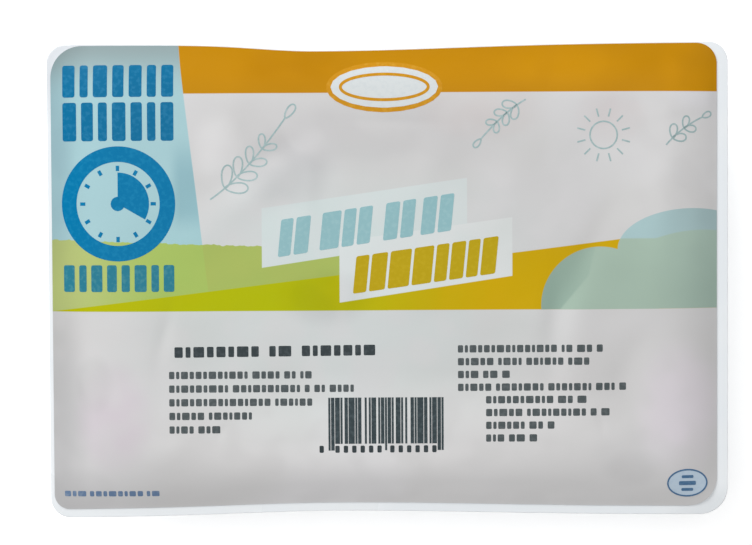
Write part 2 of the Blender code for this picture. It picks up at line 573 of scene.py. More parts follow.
def oval(half_length: float, half_height: float) -> np.ndarray:
    """Make an oval: each row is as long as the ellipse is there, and the rows crowd to both ends.

    Args:
        half_length: Half of the oval's length.
        half_height: Half of its height.

    Returns:
        Plan points, rows by columns by two, round the oval's middle.
    """
    turns = np.linspace(-OVAL_TURN, OVAL_TURN, max(LEAST_OVAL_ROWS, steps_for(2.0 * half_height)))
    columns = max(LEAST_OVAL_COLUMNS, steps_for(2.0 * half_length))
    return scanned_shape(half_length * np.cos(turns), half_height * np.sin(turns), columns)


def ribbon(path: np.ndarray, width: float, closed: bool = False) -> Patch:
    """Carry a line of the given width along a path: points on both sides of it, square to it.

    Args:
        path: Plan points along the line's middle.
        width: The line's width.
        closed: Whether the path ends where it starts, without repeating its first point.

    Returns:
        The patch of the line.
    """
    if closed:
        tangent = np.roll(path, -1, axis=0) - np.roll(path, 1, axis=0)
    else:
        tangent = np.gradient(path, axis=0)
    tangent = tangent / np.linalg.norm(tangent, axis=1, keepdims=True)
    normal = np.stack((-tangent[:, 1], tangent[:, 0]), axis=-1)
    sides = np.array((-0.5, 0.0, 0.5))[:, None, None] * width
    return Patch(path[None] + sides * normal[None], wraps=closed)


def round_path(x: float, y: float, half_length: float, half_height: float) -> np.ndarray:
    """Place points round an ellipse.

    Args:
        x: The middle's place to the right.
        y: The middle's place to the back.
        half_length: Half of the ellipse's length.
        half_height: Half of its height.

    Returns:
        Plan points, without repeating the first.
    """
    count = max(LEAST_PATH_POINTS, int(math.pi * (half_length + half_height) / PATH_PITCH))
    turns = np.arange(count) * 2.0 * math.pi / count
    return np.stack((x + half_length * np.cos(turns), y + half_height * np.sin(turns)), axis=-1)


def outward_lines(
    middle: tuple[float, float], reach: np.ndarray, turns: np.ndarray, width: float
) -> list[Patch]:
    """Draw short lines that point away from a middle, one for each turn.

    Args:
        middle: The plan point that they point away from.
        reach: How far each point of a line is from the middle.
        turns: The lines' directions, in radians.
        width: The lines' width.

    Returns:
        One patch for each line.
    """
    ways = np.stack((np.cos(turns), np.sin(turns)), axis=-1)
    return [ribbon(np.array(middle) + reach[:, None] * way, width) for way in ways]


class Mark(Protocol):
    """Anything that is printed as patches."""

    def patches(self) -> list[Patch]:
        """Return the mark's patches."""


@dataclass(frozen=True)
class BlockRow:
    """A row of upright blocks on a rising line, which fills a line of print without any letters."""

    left: float
    base: float
    height: float
    lengths: tuple[float, ...]
    gap: float
    corner: float = 0.5
    slope: float = 0.0
    lean: float = 0.0

    def patches(self) -> list[Patch]:
        """Set the blocks side by side: each is sheared by the row's slope and by its lean.

        Returns:
            One patch for each block.
        """
        made = []
        start = 0.0
        for length in self.lengths:
            shape = block(length, self.height, self.corner) + (start + length / 2.0, self.height / 2.0)
            x = self.left + shape[..., 0] + self.lean * shape[..., 1]
            y = self.base + shape[..., 1] + self.slope * shape[..., 0]
            made.append(Patch(np.stack((x, y), axis=-1)))
            start += length + self.gap
        return made


@dataclass(frozen=True)
class WordRow:
    """A line of small print, as words that are each filled with small upright blocks."""

    left: float
    base: float
    words: tuple[float, ...]
    height: float = 1.95
    gap: float = 1.25
    pitch: float = 1.75
    space: float = 0.45
    slope: float = 0.0
    rhythm: tuple[float, ...] = (1.0, 0.6, 1.3, 0.8, 1.1, 0.7, 1.4, 0.9, 0.6, 1.2)

    def patches(self) -> list[Patch]:
        """Share each word out among its blocks, whose lengths follow a fixed rhythm.

        Returns:
            One patch for each block.
        """
        made = []
        start = self.left
        order = 0
        for length in self.words:
            count = max(1, round(length / self.pitch))
            parts = np.array([self.rhythm[(order + i) % len(self.rhythm)] for i in range(count)])
            parts = parts / parts.sum() * (length - self.space * (count - 1))
            middles = start + np.cumsum(parts + self.space) - self.space - parts / 2.0
            for part, middle in zip(parts, middles):
                rise = self.height / 2.0 + self.slope * (middle - self.left)
                shape = block(part, self.height, SMALL_CORNER)
                made.append(Patch(shape + (middle, self.base + rise)))
            order += count
            start += length + self.gap
        return made


@dataclass(frozen=True)
class Paragraph:
    """Lines of small print, one below the other."""

    left: float
    base: float
    pitch: float
    lines: tuple[tuple[float, ...], ...]

    def patches(self) -> list[Patch]:
        """Return the patches of every line."""
        rows = (WordRow(self.left, self.base - i * self.pitch, words) for i, words in enumerate(self.lines))
        return [patch for row in rows for patch in row.patches()]


@dataclass(frozen=True)
class Oval:
    """A filled oval."""

    x: float
    y: float
    half_length: float
    half_height: float

    def patches(self) -> list[Patch]:
        """Return the oval as one patch."""
        return [Patch(oval(self.half_length, self.half_height) + (self.x, self.y))]


@dataclass(frozen=True)
class OvalLine:
    """The outline of an oval, as a line of one width."""

    x: float
    y: float
    half_length: float
    half_height: float
    width: float

    def patches(self) -> list[Patch]:
        """Return the outline as one closed patch."""
        path = round_path(self.x, self.y, self.half_length, self.half_height)
        return [ribbon(path, self.width, closed=True)]


@dataclass(frozen=True)
class Timer:
    """A plain kitchen timer's face: a ring, a filled sector, a hub and twelve ticks."""

    x: float = -71.4
    y: float = 20.0
    radius: float = 15.2
    rim: float = 4.1
    sector_start: float = 90.0
    sector_turn: float = -120.0
    sector_radius: float = 8.3
    sector_hub: float = 1.1
    hub_radius: float = 1.9
    tick_inner: float = 8.7
    tick_outer: float = 10.1
    tick_width: float = 0.9
    ticks: int = 12
    sector_rings: int = 9
    sector_columns: int = 25
    tick_points: int = 3

    def patches(self) -> list[Patch]:
        """Set out the face: the sector is a grid of radii by angles, and the ticks are short lines.

        Returns:
            The patches of the whole face.
        """
        middle = self.radius - self.rim / 2.0
        made = OvalLine(self.x, self.y, middle, middle, self.rim).patches()
        radii = np.linspace(self.sector_hub, self.sector_radius, self.sector_rings)[:, None]
        turned = np.linspace(0.0, self.sector_turn, self.sector_columns)
        turns = np.radians(self.sector_start + turned)[None, :]
        sector = np.stack((self.x + radii * np.cos(turns), self.y + radii * np.sin(turns)), axis=-1)
        made.append(Patch(sector))
        made += Oval(self.x, self.y, self.hub_radius, self.hub_radius).patches()
        reach = np.linspace(self.tick_inner, self.tick_outer, self.tick_points)
        ticks = np.arange(self.ticks) * 2.0 * math.pi / self.ticks
        return made + outward_lines((self.x, self.y), reach, ticks, self.tick_width)


@dataclass(frozen=True)
class Bars:
    """A plain field of upright bars, the same from both ends, with longer ones at its ends and middle."""

    left: float = -16.0
    top: float = -31.6
    height: float = 12.3
    guard: float = 1.8
    module: float = 0.357
    spread: float = 0.19
    corner: float = 0.03
    widths: tuple[int, ...] = (1, 1, 2, 1, 3, 1, 1, 2, 2, 1, 4, 1, 1, 1, 2, 3, 1, 2, 1, 1, 3, 2, 1, 1, 2, 1)
    guards: int = 2

    def patches(self) -> list[Patch]:
        """Set the bars: widths and gaps take turns, run to the middle and back again.

        Returns:
            One patch for each bar.
        """
        widths = self.widths + (1,) + self.widths[::-1]
        made = []
        start = 0.0
        bars = range(0, len(widths), 2)
        for order, i in enumerate(bars):
            from_end = min(order, len(bars) - 1 - order)
            from_middle = abs(order - (len(bars) - 1) / 2.0)
            long = from_end < self.guards or from_middle < 1.0
            height = self.height + (self.guard if long else 0.0)
            length = widths[i] * self.module
            shape = block(length + self.spread, height, self.corner)
            shape = shape + (self.left + start + length / 2.0, self.top - height / 2.0)
            made.append(Patch(shape))
            start += length + (widths[i + 1] * self.module if i + 1 < len(widths) else 0.0)
        return made


@dataclass(frozen=True)
class Sprig:
    """A plain line drawing of a leafy twig: a bent stem with pairs of pointed leaves."""

    start: tuple[float, float] = (-47.0, 21.0)
    bend: tuple[float, float] = (-38.0, 27.0)
    end: tuple[float, float] = (-27.0, 42.5)
    line: float = 0.42
    pairs: int = 4
    leaf_length: float = 6.0
    leaf_width: float = 1.35
    leaf_turn: float = 42.0
    stem_points: int = 30
    leaf_points: int = 28
    # How much of a leaf's width moves towards its root
    leaf_belly: float = 0.25
    # Where on the stem the first pair grows, and over which share of it all pairs are spread
    first_pair: float = 0.22
    pairs_reach: float = 0.66
    # How far ahead or back on the stem its direction is read
    ahead: float = 0.02
    back: float = 0.03
    # How much smaller each pair is than the one before, and the size of the leaf at the tip
    shrink: float = 0.12
    tip_size: float = 0.7

    def stem(self, share: np.ndarray) -> np.ndarray:
        """Work out points of the stem, a curve pulled towards one point.

        Args:
            share: Shares of the way from the stem's start to its end.

        Returns:
            Plan points of the stem.
        """
        t = share[:, None]
        start, bend, end = (np.array(point) for point in (self.start, self.bend, self.end))
        return (1.0 - t) ** 2 * start + 2.0 * t * (1.0 - t) * bend + t**2 * end

    def leaf(self, root: np.ndarray, direction: float, size: float) -> Patch:
        """Draw one leaf's outline: its width follows a sine squared off its length, pointed at the tip.

        Args:
            root: Where the leaf leaves the stem.
            direction: The way that it points, in radians.
            size: Its size against a full leaf.

        Returns:
            The outline's patch.
        """
        turns = np.arange(self.leaf_points) * 2.0 * math.pi / self.leaf_points
        along = size * self.leaf_length * (1.0 - np.cos(turns)) / 2.0
        across = size * self.leaf_width * np.sin(turns) * (1.0 - self.leaf_belly * np.cos(turns))
        x = root[0] + along * math.cos(direction) - across * math.sin(direction)
        y = root[1] + along * math.sin(direction) + across * math.cos(direction)
        return ribbon(np.stack((x, y), axis=-1), self.line, closed=True)

    def patches(self) -> list[Patch]:
        """Draw the stem and its leaves.

        Returns:
            The patches of the whole sprig.
        """
        made = [ribbon(self.stem(np.linspace(0.0, 1.0, self.stem_points)), self.line)]
        for pair in range(self.pairs):
            share = self.first_pair + self.pairs_reach * pair / self.pairs
            root, ahead = self.stem(np.array((share, share + self.ahead)))
            direction = math.atan2(*(ahead - root)[::-1])
            for side in (-1.0, 1.0):
                turn = direction + side * math.radians(self.leaf_turn)
                made.append(self.leaf(root, turn, 1.0 - self.shrink * pair))
        tip, before = self.stem(np.array((1.0, 1.0 - self.back)))
        made.append(self.leaf(tip, math.atan2(*(tip - before)[::-1]), self.tip_size))
        return made


@dataclass(frozen=True)
class Sun:
    """A plain line drawing of a sun: a ring with short rays."""

    x: float = 57.0
    y: float = 37.5
    radius: float = 3.6
    ray_inner: float = 5.0
    ray_outer: float = 7.2
    rays: int = 12
    line: float = 0.42
    ray_points: int = 4

    def patches(self) -> list[Patch]:
        """Draw the ring and its rays.

        Returns:
            The patches of the whole sun.
        """
        ring = OvalLine(self.x, self.y, self.radius, self.radius, self.line).patches()
        reach = np.linspace(self.ray_inner, self.ray_outer, self.ray_points)
        turns = (np.arange(self.rays) + 0.5) * 2.0 * math.pi / self.rays
        return ring + outward_lines((self.x, self.y), reach, turns, self.line)


# Finishes

# A surface sends back this share of its seen colour, and the scene's lights make up the rest
LIGHT_GAIN = 0.82
FILM_SHINE = 0.06
# Where a Mix node takes its two colours and gives its own
MIX_FIRST, MIX_SECOND, MIX_RESULT = 6, 7, 2
WHITE = (1.0, 1.0, 1.0)
BLACK = (0.0, 0.0, 0.0)


def paint(red: int, green: int, blue: int) -> Colour:
    """Turn a colour as seen on a screen, by the usual screen curve, into the surface's share of light.

    Args:
        red: Red from 0 to 255.
        green: Green from 0 to 255.
        blue: Blue from 0 to 255.

    Returns:
        Red, green and blue shares of the light that the surface sends back.
    """
    seen = np.array((red, green, blue)) / 255.0
    straight = np.where(seen <= 0.04045, seen / 12.92, ((seen + 0.055) / 1.055) ** 2.4)
    return tuple(float(share) for share in straight * LIGHT_GAIN)


class Canvas:
    """Short words for the shader nodes of one material."""

    def __init__(self, name: str) -> None:
        """Start a material with a Principled shader.

        Args:
            name: The material's name.
        """
        self.material = bpy.data.materials.new(name)
        self.material.use_nodes = True
        self.tree = self.material.node_tree
        self.shader = self.tree.nodes["Principled BSDF"]

    def node(self, kind: str, **settings: object) -> bpy.types.Node:
        """Add a node and set its settings.

        Args:
            kind: The node's type.
            **settings: The node's own settings by name.

        Returns:
            The node.
        """
        made = self.tree.nodes.new(kind)
        for name, setting in settings.items():
            setattr(made, name, setting)
        return made

    def feed(self, socket: Socket, value: Value | Colour) -> None:
        """Link a socket to another node's output, or set it to a number or a colour.

        Args:
            socket: The socket to feed.
            value: What it gets.
        """
        if isinstance(value, Socket):
            self.tree.links.new(value, socket)
        elif isinstance(value, tuple) and len(value) == 3 and len(socket.default_value) == 4:
            socket.default_value = (*value, 1.0)
        else:
            socket.default_value = value

    def surface(self, looks: dict[str, Value | Colour]) -> bpy.types.Material:
        """Feed the shader.

        Args:
            looks: What each of its inputs gets, by the input's name.

        Returns:
            The finished material.
        """
        for name, value in looks.items():
            self.feed(self.shader.inputs[name], value)
        return self.material

    def math(self, operation: str, *values: Value) -> Socket:
        """Work out one sum.

        Args:
            operation: The Math node's operation.
            *values: Its numbers, one to three.

        Returns:
            The result's socket.
        """
        made = self.node("ShaderNodeMath", operation=operation)
        for socket, value in zip(made.inputs, values):
            self.feed(socket, value)
        return made.outputs[0]

    def squares(self, first: Value, second: Value) -> Socket:
        """Add the squares of two numbers."""
        return self.math("MULTIPLY_ADD", first, first, self.math("MULTIPLY", second, second))

    def blend(self, share: Value, first: Value | Colour, second: Value | Colour, way: str = "MIX") -> Socket:
        """Blend two colours.

        Args:
            share: How much of the second colour there is, from 0 to 1.
            first: The first colour.
            second: The second colour.
            way: The Mix node's way of blending.

        Returns:
            The blended colour's socket.
        """
        made = self.node("ShaderNodeMix", data_type="RGBA", blend_type=way)
        self.feed(made.inputs[0], share)
        self.feed(made.inputs[MIX_FIRST], first)
        self.feed(made.inputs[MIX_SECOND], second)
        return made.outputs[MIX_RESULT]

    def ramp(self, value: Value, low: float, high: float, start: float = 0.0, stop: float = 1.0) -> Socket:
        """Turn a range of values softly into another range.

        Args:
            value: The value.
            low: The value that gives start.
            high: The value that gives stop.
            start: The result at and before low.
            stop: The result at and after high.

        Returns:
            The result's socket.
        """
        made = self.node("ShaderNodeMapRange", interpolation_type="SMOOTHSTEP")
        for socket, number in zip(made.inputs, (value, low, high, start, stop)):
            self.feed(socket, number)
        return made.outputs[0]

    def plan(self) -> tuple[Socket, Socket]:
        """Read the surface's own place.

        Returns:
            Sockets of its place to the right and to the back, in millimetres.
        """
        parts = self.node("ShaderNodeSeparateXYZ")
        self.feed(parts.inputs[0], self.place())
        return parts.outputs[0], parts.outputs[1]

    def place(self) -> Socket:
        """Read the surface's own place in millimetres.

        Returns:
            The place's socket.
        """
        made = self.node("ShaderNodeMapping")
        self.feed(made.inputs["Vector"], self.node("ShaderNodeTexCoord").outputs["Object"])
        self.feed(made.inputs["Scale"], (1.0 / MM, 1.0 / MM, 1.0 / MM))
        return made.outputs[0]

    def noise(self, size: float, detail: float) -> Socket:
        """Make a soft random pattern.

        Args:
            size: About how wide its blotches are, in millimetres.
            detail: How many finer patterns lie on it.

        Returns:
            The pattern's socket, around a half.
        """
        made = self.node("ShaderNodeTexNoise")
        self.feed(made.inputs["Vector"], self.place())
        self.feed(made.inputs["Scale"], 1.0 / size)
        self.feed(made.inputs["Detail"], detail)
        return made.outputs[0]


@dataclass(frozen=True)
class Mottle:
    """A soft random pattern, with one range of its values turned into another."""

    size: float
    detail: float
    low: float
    high: float
    start: float = 0.0
    stop: float = 1.0

    def on(self, canvas: Canvas) -> Socket:
        """Make the pattern's nodes and return the result's socket."""
        return canvas.ramp(canvas.noise(self.size, self.detail), self.low, self.high, self.start, self.stop)


@dataclass(frozen=True)
class Grain:
    """A slight random unevenness of a surface."""

    size: float
    detail: float
    depth: float

    def on(self, canvas: Canvas, below: Socket | None = None) -> Socket:
        """Raise the surface by the pattern.

        Args:
            canvas: The material that the nodes go into.
            below: The unevenness that this one lies on.

        Returns:
            The new normal's socket.
        """
        made = canvas.node("ShaderNodeBump")
        canvas.feed(made.inputs["Distance"], self.depth * MM)
        canvas.feed(made.inputs["Height"], canvas.noise(self.size, self.detail))
        if below is not None:
            canvas.feed(made.inputs["Normal"], below)
        return made.outputs[0]


@dataclass(frozen=True)
class Spot:
    """The plan place that a colour is worked out for, in a material."""

    canvas: Canvas
    x: Value
    y: Value


@dataclass(frozen=True)
class Edge:
    """A straight edge of a printed field, through one place. The field lies on one side of it."""

    x: float
    y: float
    slope: float = 0.0
    upright: bool = False
    sign: float = 1.0
    soft: float = 0.1
    ragged: float = 0.0
    tuft: float = 1.6
    tuft_detail: float = 1.0

    def distance(self, spot: Spot) -> Socket:
        """Work out how far inside the edge the surface lies. A ragged edge wanders with a fine pattern.

        Args:
            spot: The place on the surface.

        Returns:
            The distance's socket, above zero inside.
        """
        canvas = spot.canvas
        along, across = (spot.y, spot.x) if self.upright else (spot.x, spot.y)
        start, level = (self.y, self.x) if self.upright else (self.x, self.y)
        line = canvas.math("MULTIPLY_ADD", along, self.slope, level - self.slope * start)
        if self.ragged:
            tufts = canvas.noise(self.tuft, self.tuft_detail)
            line = canvas.math("MULTIPLY_ADD", tufts, 4.0 * self.ragged, line)
            line = canvas.math("SUBTRACT", line, 2.0 * self.ragged)
        return canvas.math("MULTIPLY", canvas.math("SUBTRACT", across, line), self.sign)

    def inside(self, spot: Spot) -> Socket:
        """Work out the field's cover: the distance from the edge, turned softly into 0 or 1."""
        return spot.canvas.ramp(self.distance(spot), -self.soft, self.soft)


def between(left: float, right: float) -> tuple[Edge, Edge]:
    """Return the two upright edges of a field that runs from a left to a right place."""
    return Edge(left, 0.0, upright=True), Edge(right, 0.0, upright=True, sign=-1.0)


@dataclass(frozen=True)
class RoundEdge:
    """The edge of a printed round field, which covers its inside."""

    x: float
    y: float
    radius: float
    soft: float = 0.1
    flatten: float = 1.0

    def inside(self, spot: Spot) -> Socket:
        """Work out the field's cover from the distance to its middle, with heights multiplied by flatten.

        Args:
            spot: The place on the surface.

        Returns:
            The cover's socket.
        """
        canvas = spot.canvas
        right = canvas.math("SUBTRACT", spot.x, self.x)
        back = canvas.math("MULTIPLY", canvas.math("SUBTRACT", spot.y, self.y), self.flatten)
        distance = canvas.math("SQRT", canvas.squares(right, back))
        return canvas.ramp(distance, self.radius + self.soft, self.radius - self.soft)


@dataclass(frozen=True)
class Field:
    """A printed field of colour: its edges, and its colour at a left and at a right place."""

    edges: tuple[Edge | RoundEdge, ...]
    left: Colour
    right: Colour
    left_x: float = -88.0
    right_x: float = 88.0

    def cover(self, spot: Spot) -> Socket:
        """Multiply the covers of all edges.

        Args:
            spot: The place on the surface.

        Returns:
            The field's cover.
        """
        cover = self.edges[0].inside(spot)
        for edge in self.edges[1:]:
            cover = spot.canvas.math("MULTIPLY", cover, edge.inside(spot))
        return cover

    def over(self, below: Value | Colour, spot: Spot) -> Socket:
        """Print the field over the colour below it."""
        colour = spot.canvas.blend(spot.canvas.ramp(spot.x, self.left_x, self.right_x), self.left, self.right)
        return spot.canvas.blend(self.cover(spot), below, colour)


@dataclass(frozen=True)
class PaintedLightAndTint:
    """A soft oval place whose factor multiplies the printed colour: mostly painted light and painted shade
    for the shading of the film's relief and edges, and where the factor is coloured, the contents showing
    through as well.
    """

    x: float
    y: float
    reach_x: float
    reach_y: float
    factor: Colour

    def over(self, below: Value, spot: Spot, patchy: Value = 1.0) -> Socket:
        """Lay the patch over the print. It falls softly from its middle to its reach.

        Args:
            below: The printed colour.
            spot: The place on the surface.
            patchy: What the patch's share is multiplied by, so that it isn't even.

        Returns:
            The tinted colour.
        """
        canvas = spot.canvas
        right = canvas.math("DIVIDE", canvas.math("SUBTRACT", spot.x, self.x), self.reach_x)
        back = canvas.math("DIVIDE", canvas.math("SUBTRACT", spot.y, self.y), self.reach_y)
        share = canvas.math("MULTIPLY", canvas.ramp(canvas.squares(right, back), 1.0, 0.0), patchy)
        return canvas.blend(share, below, self.factor, "MULTIPLY")


@dataclass(frozen=True)
class EdgeShade:
    """A painted shade along one side of the print: the print darkens from the film's edge inwards, where the
    film slopes down.
    """

    edge: Edge
    reach: float
    strength: float

    def over(self, below: Value, spot: Spot) -> Socket:
        """Darken the print from the side inwards."""
        share = spot.canvas.ramp(self.edge.distance(spot), 0.0, self.reach, self.strength, 0.0)
        return spot.canvas.blend(share, below, BLACK)


FIELD_BOTTOM = -8.5
BAND_BOTTOM = 49.0
PANEL_EDGE = Edge(-55.4, 61.6, slope=-0.1195, upright=True, sign=-1.0)
PANEL_OUTSIDE = Edge(-55.4, 61.6, slope=-0.1195, upright=True)
ABOVE_FOOT = Edge(0.0, FIELD_BOTTOM)
GROUND_TOP = Edge(-33.9, 8.55, slope=-0.0356, sign=-1.0, ragged=0.26)
HILL_LINE = Edge(-83.9, -7.8, slope=0.1225, sign=-1.0)
FAR_HILL = RoundEdge(80.8, 7.3, 20.1, flatten=1.87)
LEFT_HILL = RoundEdge(56.0, -7.6, 15.6)
HILL_LIGHT = paint(169, 191, 176)
HILL_DARK = paint(164, 186, 174)
# The right hill's top, crest, foot, flank and upper flank, each with its colour at the right end
RIGHT_HILL = tuple(
    Field((*edges, ABOVE_FOOT), HILL_LIGHT, right, left_x=66.0)
    for right, edges in (
        (HILL_DARK, (FAR_HILL, Edge(0.0, 10.15, sign=-1.0, soft=0.2))),
        (HILL_DARK, (FAR_HILL, RoundEdge(83.8, -27.3, 39.6, soft=0.2))),
        (HILL_DARK, (Edge(60.8, 0.0, upright=True), Edge(0.0, 7.6, sign=-1.0))),
        (HILL_LIGHT, (LEFT_HILL, Edge(45.7, -8.2, slope=0.849, upright=True, soft=0.5))),
        (HILL_LIGHT, (LEFT_HILL, Edge(53.0, 0.4, slope=0.23, upright=True, soft=0.5))),
    )
)


@dataclass(frozen=True)
class FilmFinish:
    """White film printed in flat fields of colour, with a satin face."""

    name: str = "printed_film"
    white: Colour = paint(215, 214, 215)
    dull_white: Colour = paint(211, 210, 210)
    clouds: Mottle = Mottle(34.0, 1.0, 0.38, 0.62)
    panel_low: Colour = paint(169, 205, 211)
    panel_high: Colour = paint(150, 168, 170)
    panel_low_y: float = 47.0
    panel_high_y: float = 62.5
    patchy: Mottle = Mottle(11.0, 1.0, 0.34, 0.60, 0.55, 1.0)
    roughness: Mottle = Mottle(6.0, 3.0, 0.3, 0.7, 0.37, 0.48)
    fine_grain: Grain = Grain(0.9, 2.0, 0.006)
    wide_grain: Grain = Grain(7.0, 2.0, 0.05)
    fields: tuple[Field, ...] = (
        # The ground, also under the panel, and the nearer ground
        Field(
            (GROUND_TOP, ABOVE_FOOT, Edge(0.0, 0.0, upright=True, sign=-1.0)),
            paint(174, 188, 100),
            paint(174, 186, 96),
        ),
        Field(
            (GROUND_TOP, ABOVE_FOOT, PANEL_EDGE), paint(184, 196, 124), paint(172, 194, 101), right_x=-58.0
        ),
        Field((HILL_LINE, ABOVE_FOOT), paint(184, 185, 0), paint(208, 168, 0), left_x=-26.0, right_x=30.0),
        # Painted shade in a strip along the panel's slanted edge, where the film folds
        Field(
            (
                PANEL_EDGE,
                Edge(-56.6, 0.0, upright=True, soft=2.0),
                Edge(0.0, 15.0, soft=4.0),
                Edge(0.0, 33.0, sign=-1.0, soft=6.0),
            ),
            paint(148, 187, 196),
            paint(148, 187, 196),
        ),
        # The far hill, the left hill and the right hill
        Field((FAR_HILL, ABOVE_FOOT), paint(173, 202, 205), paint(163, 187, 189), left_x=58.0),
        Field((LEFT_HILL, ABOVE_FOOT), paint(148, 172, 159), paint(170, 193, 178), left_x=40.0, right_x=62.0),
        *RIGHT_HILL,
        # The band along the back edge
        Field((Edge(0.0, BAND_BOTTOM), PANEL_OUTSIDE), paint(196, 137, 8), paint(196, 137, 12)),
        # The upper and the lower banner
        Field(
            (*between(-33.4, 20.9), Edge(20.9, 26.4, slope=0.143, sign=-1.0), Edge(-33.4, 2.9, slope=0.150)),
            paint(216, 222, 223),
            paint(214, 219, 219),
        ),
        Field(
            (*between(-12.9, 32.8), Edge(33.2, 16.0, slope=0.135, sign=-1.0), Edge(33.2, 0.5, slope=0.150)),
            paint(227, 227, 230),
            paint(220, 222, 221),
        ),
    )
    # Painted light and painted shade: even grey factors lighten or darken the print where the film's relief
    # and edges are lit or shaded; coloured ones add the contents showing through, most also lighter or darker
    painted_light_and_tints: tuple[PaintedLightAndTint, ...] = (
        PaintedLightAndTint(-14.0, -6.0, 72.0, 46.0, (0.940, 1.000, 0.985)),
        PaintedLightAndTint(-73.0, -37.0, 12.0, 17.0, (0.970, 0.905, 0.960)),
        PaintedLightAndTint(77.5, -35.0, 14.0, 21.0, (1.120, 1.070, 1.130)),
        PaintedLightAndTint(24.6, 44.0, 20.0, 9.0, (0.985, 0.950, 0.945)),
        PaintedLightAndTint(59.0, 42.4, 11.0, 9.0, (0.960, 0.920, 0.915)),
        PaintedLightAndTint(-2.0, 38.0, 42.0, 13.0, (0.930, 0.930, 0.935)),
        PaintedLightAndTint(46.0, 22.0, 40.0, 30.0, (0.950, 0.955, 0.950)),
        PaintedLightAndTint(0.0, -40.0, 82.0, 17.0, (1.135, 1.135, 1.135)),
        PaintedLightAndTint(10.0, -60.5, 74.0, 7.0, (1.100, 1.100, 1.100)),
        PaintedLightAndTint(-45.0, 34.0, 8.0, 12.0, (1.080, 1.080, 1.080)),
        PaintedLightAndTint(82.0, 55.0, 12.0, 13.0, (1.120, 1.120, 1.150)),
        PaintedLightAndTint(78.0, 26.0, 30.0, 32.0, (1.130, 1.130, 1.130)),
        PaintedLightAndTint(-27.0, 29.0, 15.0, 12.0, (0.890, 0.890, 0.895)),
        PaintedLightAndTint(65.0, -51.0, 10.0, 6.0, (0.910, 0.910, 0.910)),
        PaintedLightAndTint(-23.0, 55.0, 20.0, 8.0, (0.910, 0.890, 0.850)),
        PaintedLightAndTint(46.0, 56.0, 22.0, 8.0, (1.080, 1.100, 1.250)),
        PaintedLightAndTint(-17.0, -5.0, 15.0, 9.0, (0.910, 0.890, 0.900)),
        PaintedLightAndTint(-90.0, 30.0, 8.0, 36.0, (0.860, 0.860, 0.890)),
        PaintedLightAndTint(-90.0, -36.0, 12.0, 38.0, (0.845, 0.850, 0.850)),
        PaintedLightAndTint(-82.0, -57.0, 11.0, 8.0, (0.925, 0.925, 0.925)),
        PaintedLightAndTint(-78.0, -28.0, 6.0, 9.0, (0.900, 0.905, 0.900)),
        PaintedLightAndTint(-14.0, -47.0, 44.0, 5.0, (1.035, 1.035, 1.035)),
    )
    # Painted shade along the film's left, right and top edges
    shades: tuple[EdgeShade, ...] = (
        EdgeShade(Edge(-89.5, 0.0, upright=True), 12.0, 0.17),
        EdgeShade(Edge(87.7, 0.0, upright=True, sign=-1.0), 16.0, 0.07),
        EdgeShade(Edge(0.0, 61.5, sign=-1.0), 9.0, 0.10),
    )

    def colour(self, canvas: Canvas) -> Socket:
        """Print the film from its white ground up, then lay painted light, painted shade and the contents'
        show-through over it.

        Args:
            canvas: The material that the nodes go into.

        Returns:
            The printed colour.
        """
        x, y = canvas.plan()
        spot = Spot(canvas, x, canvas.math("SUBTRACT", y, PRINT_RISE))
        colour = canvas.blend(self.clouds.on(canvas), self.white, self.dull_white)
        panel_rise = canvas.ramp(spot.y, self.panel_low_y, self.panel_high_y)
        panel = canvas.blend(panel_rise, self.panel_low, self.panel_high)
        panel_cover = canvas.math("MULTIPLY", PANEL_EDGE.inside(spot), ABOVE_FOOT.inside(spot))
        colour = canvas.blend(panel_cover, colour, panel)
        for printed in self.fields:
            colour = printed.over(colour, spot)
        patchy = self.patchy.on(canvas)
        for painted_patch in self.painted_light_and_tints:
            colour = painted_patch.over(colour, spot, patchy)
        for shade in self.shades:
            colour = shade.over(colour, spot)
        return colour

    def material(self) -> bpy.types.Material:
        """Make the film's material.

        Returns:
            The material.
        """
        canvas = Canvas(self.name)
        return canvas.surface({
            "Base Color": self.colour(canvas),
            "Roughness": self.roughness.on(canvas),
            "Specular IOR Level": FILM_SHINE,
            "Normal": self.wide_grain.on(canvas, self.fine_grain.on(canvas)),
        })


@dataclass(frozen=True)
class InkFinish:
    """Flat ink on the film, with a fine mottle where it took unevenly."""

    name: str
    colour: Colour
    mottled: Colour
    mottle: Mottle = Mottle(1.1, 3.0, 0.44, 0.68)
    roughness: float = 0.40
    grain: Grain = Grain(0.9, 2.0, 0.006)

    def material(self) -> bpy.types.Material:
        """Make the ink's material.

        Returns:
            The material.
        """
        canvas = Canvas(self.name)
        return canvas.surface({
            "Base Color": canvas.blend(self.mottle.on(canvas), self.colour, self.mottled),
            "Roughness": self.roughness,
            "Specular IOR Level": FILM_SHINE,
            "Normal": self.grain.on(canvas),
        })


